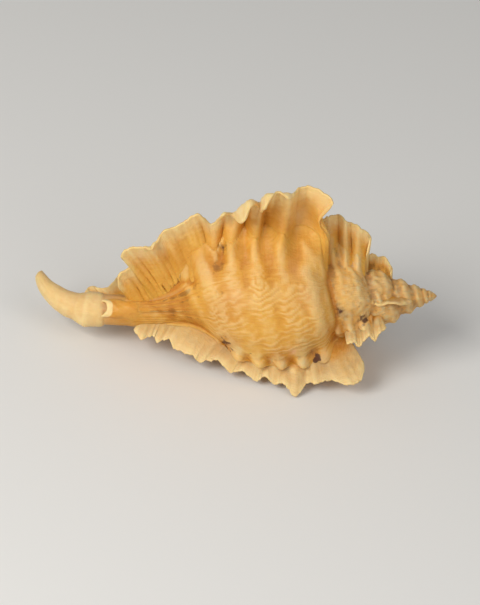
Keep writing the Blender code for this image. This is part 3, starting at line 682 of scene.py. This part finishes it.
def wing_masks(points, out, side, hollow, fine, wing, along):
    """Masks from the share of the way out; side is 1 on the side that grew last and -1 on the other."""
    last = side > 0
    rim = smooth_step(*RIM_PART, out)
    early = wing["early"]
    smooth_side = last * wing["leading"]
    foot = has_foot(wing) * (1 - last) * (1 - smooth_step(*FOOT_PART, out))
    # At the apex end the young wings' side that grew first counts as foot, so the painted shade in its deep hollow is
    # weaker.
    foot = np.maximum(foot, 0.7 * (1 - early) * (1 - last) * (1 - smooth_step(*TOP_PART, along)))
    # Cream on the fine crests is painted highlight; amber in the hollows is painted shade.
    cream_and_highlight = (0.7 - 0.25 * smooth_side) * rim ** 2 + 0.2 * np.clip(-fine, 0, 1) * (1 - foot)
    cream_and_highlight = cream_and_highlight + 0.12 * smooth_side * smooth_step(0.25, 0.6, out)
    amber_and_shade = 0.8 * np.clip(1.3 * hollow, 0, 1) * (1 - 0.6 * rim) + 0.8 * smooth_side * (1 - smooth_step(0.1, 0.6, out))
    brown_stain_and_shade = early * (0.3 + 0.4 * np.clip(hollow, 0, 1)) * (1 - rim)
    brown_stain_and_shade = brown_stain_and_shade + (1 - last) * (1 - early) * 0.3 * smooth_step(*LOW_BROWN_PART, along) * (1 - rim)
    grey = 0.3 * early * np.clip(-fine + 0.2, 0, 1) + 0.5 * smooth_side * smooth_step(0.2, 0.5, out)
    return with_spots(points, {"cream_and_highlight": cream_and_highlight, "amber_and_shade": amber_and_shade * (1 - 0.8 * foot), "brown_stain_and_shade": brown_stain_and_shade * (1 - foot),
                               "grey": grey, "pink": 0.12 * rim, "maroon": 0 * rim})


print("a wing's rim colours start", RIM_PART[0], "of the way out")

# %% [markdown]
# ## From ribs to a sheet
#
# The ribs give the sheet's middle surface: a grid of points from the root, inside the whorl, to the rim.
# Between two ribs a cubic keeps the flutes round. Noise makes the rim jagged, and on the upper wing it
# also makes fine pleats near the canal. At the end the rim goes on round its small roll. Curve objects
# could be lofted over the ribs, but the roll and the jagged rim would then need modelling of their own.

# %% The middle of a wing
ROLL_RADIUS, ROLL_ROWS, ROLL_LEAST, ROLL_BEND = 0.75, 8, 0.15, 1.9
NOTCH_COLUMNS, NOTCH_OUT, NOTCH_WIDTH = 1.3, 0.74, 0.16
PLEAT_SIZE, PLEAT_PART = 0.62, (36, 40)
TWIST_PART = (44, 57)
SINK_PART = (0.1, 0.42)


def roll_length(rim, wing):
    """How long the rolled edge is at each place of the rim."""
    return ROLL_LEAST + sum(size * np.exp(-((rim - at) / width) ** 2) for at, width, size in wing["tongues"])


def rolled_rim(middle, rim, wing, square):
    """The rows of points that carry the middle surface on from its highest line and round its roll."""
    turn = roll_length(rim, wing) * np.linspace(0, 1, ROLL_ROWS + 1)[1:][None, :] / ROLL_RADIUS
    bend = np.minimum(turn, ROLL_BEND)
    straight = np.maximum(turn - ROLL_BEND, 0)
    ahead = middle[:, -1:] - middle[:, -3:-2]
    ahead /= np.linalg.norm(ahead, axis=-1, keepdims=True)
    reach_out = (np.sin(bend) + straight * np.cos(bend))[..., None]
    fall_back = (1 - np.cos(bend) + straight * np.sin(bend))[..., None]
    return middle[:, -1:] + ROLL_RADIUS * (reach_out * ahead - fall_back * square)


def wing_middle(wing):
    """The middle surface, with each point's share of the way out and each column's fold and rib number.

    The last value is how far the foot stands off the middle surface on the side that grew first.
    """
    columns = wing["steps"] * (len(wing["ribs"]) - 1) + 1
    index = np.linspace(0, len(wing["ribs"]) - 1, columns)
    root, rim, reach, fold, lip = (curve[:, None] for curve in rib_curves(wing, index))
    edge = np.hstack([rim, reach, 0 * rim])
    jagged = lumps(edge, 0.9, wing["angle"]) + 0.6 * lumps(edge, 0.35, 2 + wing["angle"])
    reach = reach + wing["teeth"] * jagged[:, None]
    out = np.linspace(0, 1, wing["rows"] + 1)[None, :]
    angle = wing["angle"] + wing["twist"] * smooth_step(*TWIST_PART, rim)
    web, root_across = foot_of(wing, angle, root)
    reach = reach - ROLL_RADIUS * np.sin(np.minimum(roll_length(rim, wing) / ROLL_RADIUS, math.pi / 2))
    notch = np.exp(-(index / NOTCH_COLUMNS) ** 2)[:, None] * np.exp(-((out - NOTCH_OUT) / NOTCH_WIDTH) ** 2)
    along = root + (rim - root) * out + wing["notch"] * notch
    sink = FOOT_SINK * smooth_step(1, 3, web) * (1 - smooth_step(*SINK_PART, out))
    across = root_across + (reach - root_across) * out - sink
    square = np.stack([0 * angle, -np.sin(np.radians(angle)), np.cos(np.radians(angle))], -1)
    pleats = wing["pleats"] * lumps(np.hstack([rim, 0 * rim, 0 * rim]), PLEAT_SIZE, 4.5)[:, None]
    pleats = pleats * smooth_step(*PLEAT_PART, rim) * np.sin(math.pi * np.sqrt(np.clip(out, 0, 1)))
    side = wing["curl"] * out ** 2 + fold * flute_depth(wing, out, rim) + lip * out ** 3 + pleats
    middle = shell_points(along, across, angle) - side[..., None] * square
    middle = np.concatenate([middle, rolled_rim(middle, rim, wing, square)], 1)
    out = np.concatenate([out, np.ones((1, ROLL_ROWS))], 1) + 0 * rim
    foot = web * (1 - out) ** FOOT_POWER
    return middle, out, fold, index, foot[..., None] * square


print("rows from root to rim:", {name: wing["rows"] for name, wing in WINGS.items()})

# %% [markdown]
# ## A sheet with a soft edge
#
# The sheet stands half its thickness off on either side of its middle surface. Round the rim three more
# rows of points make a small nose, because a cut edge with two sharp corners would catch the light like
# sheet metal, and a worn shell's edge is round. Each column of points goes up one side, round the nose
# and down the other, and the whole is closed at both ends. A solidify modifier would leave the edge
# square, and couldn't thicken the foot on one side only.

# %% Make the wings
NOSE_ROWS = 3
WORN_RIBS = 0.35
LUMP_HEIGHT, RIBBING_HEIGHT = 0.05, 0.04
GROWN_ROOT_TO_RIM = 14.0


def sheet_hollows(front, nose, back, times, depth):
    """How hollow both faces of a sheet are, with 0 on its nose."""
    return np.concatenate([-hollowness(front, times, depth), 0 * nose[..., 0],
                           hollowness(back, times, depth)[:, ::-1]], 1)


def end_caps(rows, columns, half_way):
    """Faces that close both ends of a sheet, strip by strip between its two sides."""
    strips = [[i, i + 1, columns - 2 - i, columns - 1 - i] for i in range(half_way - 1)]
    strips.append([half_way - 1 + i for i in range(NOSE_ROWS + 2)])
    last = (rows - 1) * columns
    return strips + [[last + i for i in strip][::-1] for strip in strips]


def make_wing(name, wing):
    middle, out, fold, index, foot = wing_middle(wing)
    normal = -outward(middle, around=False)
    ends = np.minimum(index, index[-1] - index)[:, None]
    worn = np.clip(ends / WORN_RIBS, 0, 1) ** 0.5
    half = half_thickness(out)
    swell = wing["buttress"] * np.clip(fold, 0, None) * (1 - out) ** 1.5
    ripple = LUMP_HEIGHT * lumps(middle * [0.5, 1.6, 1.6], 1.0, 5.0)
    ripple += RIBBING_HEIGHT * np.sin(index * 9)[:, None] * out
    front = middle + ((half + swell) * worn + ripple)[..., None] * normal
    back = middle + (ripple - half * worn)[..., None] * normal - foot
    ahead = middle[:, -1] - middle[:, -2]
    ahead /= np.linalg.norm(ahead, axis=-1, keepdims=True)
    nose = []
    for t in np.radians(180 * np.arange(1, NOSE_ROWS + 1) / (NOSE_ROWS + 1)):
        nose.append(middle[:, -1] + (half * worn)[:, -1:] * (math.cos(t) * normal[:, -1] + math.sin(t) * ahead)
                    + ripple[:, -1:] * normal[:, -1])
    nose = np.stack(nose, 1)
    points = np.concatenate([front, nose, back[:, ::-1]], 1)
    rows, columns = points.shape[:2]
    outs = np.concatenate([out, np.ones(nose.shape[:2]), out[:, ::-1]], 1)
    sides = np.where(np.arange(columns) < columns // 2, 1.0, -1.0) + np.zeros((rows, 1))
    along = points[..., 0]
    # The broad and fine hollows of both faces drive the painted shade and painted highlight of the masks.
    masks = wing_masks(points, outs, sides, sheet_hollows(front, nose, back, 30, 0.35),
                       sheet_hollows(front, nose, back, 4, 0.03), wing, along)
    grown = np.stack([along, GROWN_ROOT_TO_RIM * outs, wing["angle"] + sides], -1).reshape(-1, 3)
    faces = [face[::-1] for face in grid_faces(rows, columns)] + end_caps(rows, columns, middle.shape[1])
    return piece(name, points.reshape(-1, 3), faces, masks, grown)


wings = [make_wing(name + "_wing", wing) for name, wing in WINGS.items()]
print("wings:", {obj.name: len(obj.data.polygons) for obj in wings})

# %% [markdown]
# ## The mouth
#
# The snail came out through an egg-shaped mouth with a raised lip, on the side that lies down. It is the
# one place where something is cut away, so a Boolean does it: an egg is taken out of the whorls and out
# of a flatter egg that stands round it as the lip. Sculpting the dent would leave no sharp inner edge.

# %% Cut the mouth
APERTURE_ALONG = 36.0
APERTURE_MIDDLE = (-8.4, -0.4)
APERTURE_FACING = 246.0
APERTURE_HALF = (5.8, 3.9, 6.4)
LIP_HALF = (7.2, 5.3, 2.3)
EGG_POLE = 86


def make_egg(name, half, points=72, levels=36):
    """An egg in the mouth's place, from half its length, width and depth."""
    facing = math.radians(APERTURE_FACING)
    out = np.array([0, math.cos(facing), math.sin(facing)])
    across = np.array([0, -math.sin(facing), math.cos(facing)])
    centre = np.array([APERTURE_ALONG, *APERTURE_MIDDLE])
    level = np.radians(np.linspace(-EGG_POLE, EGG_POLE, levels))[:, None]
    turn = np.linspace(0, 2 * math.pi, points, endpoint=False)[None, :]
    ring = (np.cos(level) * np.cos(turn) * half[0])[..., None] * np.array([1.0, 0, 0])
    ring = ring - (np.cos(level) * np.sin(turn) * half[1])[..., None] * across
    egg = centre + ring + (np.sin(level) * half[2] + 0 * turn)[..., None] * out
    egg = egg.reshape(-1, 3)
    masks = {"cream_and_highlight": np.full(len(egg), 0.8), "pink": np.full(len(egg), 0.35)}
    return piece(name, egg, capped_faces(levels, points), masks, egg)


def cut(obj, other):
    """Takes one closed mesh out of another, and keeps the result as the object's mesh."""
    boolean = obj.modifiers.new("cut", "BOOLEAN")
    boolean.object = other
    boolean.operation = "DIFFERENCE"
    boolean.solver = "MANIFOLD"
    graph = bpy.context.evaluated_depsgraph_get()
    result = bpy.data.meshes.new_from_object(obj.evaluated_get(graph), depsgraph=graph)
    obj.modifiers.clear()
    obj.data = result


aperture_egg = make_egg("aperture_egg", APERTURE_HALF)
aperture_lip = make_egg("aperture_lip", LIP_HALF)
for obj in [whorls, aperture_lip]:
    cut(obj, aperture_egg)
    print(obj.name, len(obj.data.polygons), "faces, with", [mask for mask in MASKS if mask in obj.data.attributes])
bpy.data.objects.remove(aperture_egg)

# %% [markdown]
# ## The old canal
#
# At each rest the snail also starts its canal anew, and the end of the last one is left standing beside
# it, open like a cut reed. It is a short tapering tube, cut off aslant, with a hollow end: its rings go out
# along the tube, over the edge and down the hole. A tube with a Boolean hole would have a sharper edge.

# %% Make the old canal
STUB_START = np.array([46.5, 0.4, -0.6])
STUB_END = np.array([56.4, 2.0, 0.75])
STUB_RADII = (2.3, 1.45)
STUB_TAPER = (0.3, 0.6)
STUB_EDGE = [(0.18, 1.37), (0.24, 1.2), (0.1, 1.03), (-0.3, 0.95), (-1.0, 0.8075), (-1.6, 0.4275)]
STUB_HOLE_RINGS = 4
STUB_SLANT, STUB_SLANT_LENGTH = 0.85, 3.0
STUB_RINGS, STUB_POINTS = 40, 72


def make_stub():
    way = (STUB_END - STUB_START) / np.linalg.norm(STUB_END - STUB_START)
    side = np.cross(way, [0, 1, 0])
    side /= np.linalg.norm(side)
    up = np.cross(way, side)
    reach = np.linalg.norm(STUB_END - STUB_START)
    t = np.linspace(0, 1, STUB_RINGS)
    narrow, widened = STUB_TAPER
    radius = (STUB_RADII[0] + (STUB_RADII[1] - STUB_RADII[0]) * t) * (
        narrow + (1 - narrow) * smooth_step(0, widened, t))
    along = np.append(t * reach, [reach + past for past, _ in STUB_EDGE])[:, None]
    radius = np.append(radius, [size for _, size in STUB_EDGE])[:, None]
    turn = np.linspace(0, 2 * math.pi, STUB_POINTS, endpoint=False)[None, :]
    radius = radius * (1 + 0.05 * np.sin(3 * turn + along) + 0.03 * np.sin(5 * turn - 2 * along))
    middle = STUB_START + along[..., None] * way
    rings = middle + (radius * np.cos(turn))[..., None] * side + (radius * np.sin(turn))[..., None] * up
    slant = -STUB_SLANT * smooth_step(reach - STUB_SLANT_LENGTH, reach, along) * (rings - middle)[..., 1]
    rings += slant[..., None] * way + 0.05 * lumps(rings, 0.7, 1.0)[..., None] * (side + up)
    inside = np.zeros((len(rings), STUB_POINTS))
    inside[-STUB_HOLE_RINGS:] = 1
    rim = np.zeros_like(inside)
    rim[-5 - STUB_HOLE_RINGS:-STUB_HOLE_RINGS] = 1
    points = rings.reshape(-1, 3)
    # The inside of the hole gets amber and brown as painted shade; the band just below it is a cream edge.
    masks = {"amber_and_shade": (0.15 + 0.4 * inside).ravel(), "cream_and_highlight": (0.9 * rim).ravel(), "brown_stain_and_shade": (0.7 * inside).ravel(),
             "pink": np.full(len(points), 0.05)}
    return piece("old_canal", points, capped_faces(len(rings), STUB_POINTS), masks, points)


old_canal = make_stub()
print("old canal:", len(old_canal.data.polygons), "faces")

# %% [markdown]
# ## Writing shader maths as Python
#
# A material is a graph of nodes. Built by hand in code, it takes a line for each node and link, and soon
# nobody can read it. This small class wraps one socket, so that `1 - mask * 0.5` adds the Math nodes by
# itself. Any other node comes from `node`, which takes its type, its settings and its sockets.

# %% A socket that knows its maths


class Socket:
    def __init__(self, tree, output):
        self.tree = tree
        self.output = output

    def node(self, kind, settings=None, sockets=None, output=0):
        """Adds a node: settings come first, then each socket's value or link."""
        added = self.tree.nodes.new(kind)
        for key, value in (settings or {}).items():
            setattr(added, key, value)
        for key, value in (sockets or {}).items():
            if isinstance(value, Socket):
                self.tree.links.new(value.output, added.inputs[key])
            else:
                added.inputs[key].default_value = value
        return Socket(self.tree, added.outputs[output])

    def maths(self, operation, *values):
        return self.node("ShaderNodeMath", {"operation": operation}, dict(enumerate(values)))

    def __add__(self, other):
        return self.maths("ADD", self, other)

    def __sub__(self, other):
        return self.maths("SUBTRACT", self, other)

    def __mul__(self, other):
        return self.maths("MULTIPLY", self, other)

    def __rsub__(self, other):
        return self.maths("SUBTRACT", other, self)

    __radd__ = __add__
    __rmul__ = __mul__

    def clamp(self):
        return self.maths("MINIMUM", self.maths("MAXIMUM", self, 0.0), 1.0)

    def between(self, start, end):
        """0 below start, 1 above end, smooth between them."""
        return self.node("ShaderNodeMapRange", {"interpolation_type": "SMOOTHSTEP"},
                         {"Value": self, "From Min": start, "From Max": end})

    def tint(self, colour, share):
        """This colour, mixed towards another one by a share."""
        return self.node("ShaderNodeMix", {"data_type": "RGBA"}, {0: share, 6: self, 7: colour}, output=2)

    def stretched(self, scale):
        return self.node("ShaderNodeVectorMath", {"operation": "MULTIPLY"}, {0: self, 1: scale})


print("one expression, such as 1 - mask * 0.5, now makes its own nodes")

# %% [markdown]
# ## The finish of a worn shell
#
# The shell is chalky and a little see-through, with a soft satin gloss. Light goes in and comes out warmer,
# so the shader has some subsurface scattering. The base is honey with cloudy patches, and the masks mix in
# cream, which holds painted highlight on the crests, amber, which holds painted shade in the hollows, brown,
# which holds stains and painted shade, maroon, grey and pink. Noise is mixed into each mask, because real
# colours have ragged borders, and for brown and maroon the sum is cut off steeply, so that they lie as
# islands, of dirt and of painted shade. The fine growth lines and the grain of the surface are bump,
# stretched along the growth.

# %% The shell's material
HONEY = (0.66, 0.27, 0.022, 1)
PALE_HONEY = (0.84, 0.49, 0.095, 1)
# The cream also serves as painted highlight, and the amber and brown as painted shade.
CREAM_AND_HIGHLIGHT = (0.92, 0.69, 0.32, 1)
AMBER_AND_SHADE = (0.48, 0.155, 0.006, 1)
BROWN_STAIN_AND_SHADE = (0.21, 0.085, 0.014, 1)
MAROON = (0.07, 0.018, 0.012, 1)
GREY = (0.50, 0.39, 0.21, 1)
PINK = (0.88, 0.50, 0.28, 1)


ROUGHNESS = 0.38
STAIN_EDGE = (0.36, 0.72)
BUMP_DEPTH = 0.25 * MM
GLOW, GLOW_DEPTH = 0.22, 1.2 * MM


def shell_finish(name):
    material = bpy.data.materials.new(name)
    material.use_nodes = True
    tree = material.node_tree
    shader = tree.nodes["Principled BSDF"]
    start = Socket(tree, None)
    place = start.node("ShaderNodeTexCoord", output=3)
    grown = start.node("ShaderNodeAttribute", {"attribute_name": "grown"}, output=1)
    mask = {kind: start.node("ShaderNodeAttribute", {"attribute_name": kind}, output=2) for kind in MASKS}

    def cloud(size, detail=3.0, roughness=0.55, where=place, bent=0.0):
        scale = 1.0 if where is not place else 1 / MM
        return start.node("ShaderNodeTexNoise", {"noise_dimensions": "3D"}, {
            "Vector": where, "Scale": scale / size, "Detail": detail, "Roughness": roughness, "Distortion": bent})

    broad, patchy, grain = cloud(6.0), cloud(1.6, 5.0, 0.6), cloud(0.35, 4.0, 0.7)
    along_growth = cloud(1.0, 4.0, 0.6, grown.stretched((0.5, 2.4, 2.4)), 0.7)
    streaks = cloud(1.0, 3.0, 0.5, grown.stretched((2.4, 0.25, 0.25)))

    def ragged(kind, amount=0.55):
        """The mask with its border broken up by the noise."""
        return (mask[kind] * (1 + amount * 2 * (patchy - 0.5)) + (grain - 0.5) * amount * mask[kind]).clamp()

    def stain(kind):
        """The mask as islands, the way dirt settles; the brown mask's islands also hold painted shade."""
        return (mask[kind] + (patchy - 0.5) * 1.3 + (grain - 0.5) * 0.5).between(*STAIN_EDGE)

    colour = start.node("ShaderNodeMix", {"data_type": "RGBA"}, {
        0: (broad * 1.1 + along_growth * 0.9 - 0.52).clamp(), 6: HONEY, 7: PALE_HONEY}, output=2)
    # Amber in the hollows is painted shade, brown holds painted shade as well as stains, and cream on the crests is
    # painted highlight.
    colour = colour.tint(AMBER_AND_SHADE, (ragged("amber_and_shade") * 0.8 + (streaks - 0.62).clamp() * 0.7).clamp())
    colour = colour.tint(BROWN_STAIN_AND_SHADE, stain("brown_stain_and_shade") * 0.6)
    colour = colour.tint(GREY, ragged("grey", 0.9))
    colour = colour.tint(PINK, ragged("pink"))
    colour = colour.tint(CREAM_AND_HIGHLIGHT, ragged("cream_and_highlight", 0.35))
    colour = colour.tint(MAROON, stain("maroon") * 0.9)
    fleck = grain.between(0.68, 0.78) * patchy.between(0.5, 0.62) * 0.6
    colour = colour.tint(BROWN_STAIN_AND_SHADE, fleck)
    tree.links.new(colour.output, shader.inputs["Base Color"])
    rough = (ROUGHNESS + (patchy - 0.5) * 0.25 + ragged("brown_stain_and_shade") * 0.2 + ragged("grey") * 0.2
             - ragged("cream_and_highlight") * 0.05).clamp()
    tree.links.new(rough.output, shader.inputs["Roughness"])
    height = along_growth * 0.6 + grain * 0.22 + patchy * 0.35 + streaks * 0.3
    bump = start.node("ShaderNodeBump", None, {"Strength": 0.9, "Distance": BUMP_DEPTH, "Height": height})
    tree.links.new(bump.output, shader.inputs["Normal"])
    shader.inputs["Subsurface Weight"].default_value = GLOW
    shader.inputs["Subsurface Radius"].default_value = (1.0, 0.5, 0.2)
    shader.inputs["Subsurface Scale"].default_value = GLOW_DEPTH
    shader.inputs["IOR"].default_value = 1.5
    shader.inputs["Specular IOR Level"].default_value = 0.3
    return material


shell_material = shell_finish("honey_shell")
pieces = [whorls, aperture_lip, old_canal, *wings]
for obj in pieces:
    obj.data.materials.clear()
    obj.data.materials.append(shell_material)
print("material:", len(shell_material.node_tree.nodes), "nodes")

# %% [markdown]
# ## One shell
#
# All the pieces belong to one shell, which has no moving parts. They ride on the model's only body and
# stand for its one node, so the plain solid isn't shown.

# %% Fit the pieces to the frame
for obj in pieces:
    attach(obj, "root")
    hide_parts("shell")
print("pieces:", len(pieces))

# %% [markdown]
# ## Floor and light
#
# The shell lies on a plain pale floor. The photograph was lit softly, more from the left than from the
# right, so a large light stands there, a weaker one opposite, and the pale world fills the rest. Small
# lamps would give hard shadows, and hide half of the flutes.

# %% Floor and light
FLOOR_SIDE = 6.0
LIGHT_TARGET = Vector((0, 0, 12 * MM))


def plain_floor():
    mesh = bpy.data.meshes.new("floor")
    half = FLOOR_SIDE / 2
    mesh.from_pydata([(-half, -half, 0), (half, -half, 0), (half, half, 0), (-half, half, 0)], [], [(0, 1, 2, 3)])
    material = bpy.data.materials.new("pale_floor")
    material.use_nodes = True
    shader = material.node_tree.nodes["Principled BSDF"]
    shader.inputs["Base Color"].default_value = (0.82, 0.82, 0.81, 1)
    shader.inputs["Roughness"].default_value = 0.8
    mesh.materials.append(material)
    obj = bpy.data.objects.new("floor", mesh)
    bpy.context.scene.collection.objects.link(obj)


def direction(along, near, up):
    """A unit direction of the shell's frame, in the frame of the model."""
    return Vector(laid_down([along, near, up])).normalized()


def soft_light(name, towards, distance, size, power, colour):
    light = bpy.data.lights.new(name, "AREA")
    light.size = size
    light.energy = power
    light.color = colour
    obj = bpy.data.objects.new(name, light)
    obj.location = LIGHT_TARGET + towards * distance
    obj.rotation_euler = (LIGHT_TARGET - obj.location).to_track_quat("-Z", "Y").to_euler()
    bpy.context.scene.collection.objects.link(obj)


plain_floor()
soft_light("key", direction(0.7, 1.1, 0.35), distance=0.5, size=0.26, power=1.75, colour=(1, 0.97, 0.92))
soft_light("fill", direction(-0.7, 1.0, 0.1), distance=0.6, size=0.45, power=0.8, colour=(1, 0.98, 0.96))
world = bpy.data.worlds.new("pale_room")
world.use_nodes = True
world.node_tree.nodes["Background"].inputs[0].default_value = (1.0, 0.99, 0.97, 1)
world.node_tree.nodes["Background"].inputs[1].default_value = 0.3
bpy.context.scene.world = world
bpy.context.scene.view_settings.view_transform = "Standard"

# %% [markdown]
# ## The camera
#
# The camera looks straight at the shell's best side, from well back, because small things are photographed
# with long lenses and a near camera would bend the outline. Its place is worked out from the picture: one
# pixel is so many millimetres, and the apex lies so many pixels from the middle.

# %% The camera
PIXEL = 0.1684
FRAME = (480, 605)
APEX_PIXEL = (437, 296)
AXIS_TILT = math.radians(2.8)
LENS = 200.0

near, up, along = direction(0, 1, 0), direction(0, 0, 1), direction(1, 0, 0)
right = -along * math.cos(AXIS_TILT) - up * math.sin(AXIS_TILT)
above = up * math.cos(AXIS_TILT) - along * math.sin(AXIS_TILT)
centre = (Vector(apex) + right * (FRAME[0] / 2 - APEX_PIXEL[0]) * PIXEL
          - above * (FRAME[1] / 2 - APEX_PIXEL[1]) * PIXEL) * MM
camera = bpy.data.objects.new("camera", bpy.data.cameras.new("camera"))
camera.data.sensor_width = 36.0
camera.data.lens = LENS
distance = LENS * FRAME[1] * PIXEL * MM / camera.data.sensor_width
turned = Matrix((right, above, near)).transposed().to_4x4()
camera.matrix_world = Matrix.Translation(centre + near * distance) @ turned
camera.data.clip_start = 0.01
bpy.context.scene.collection.objects.link(camera)
bpy.context.scene.camera = camera
print("camera", round(distance, 3), "m away, looking down", round(math.degrees(math.asin(near.z)), 1), "degrees")
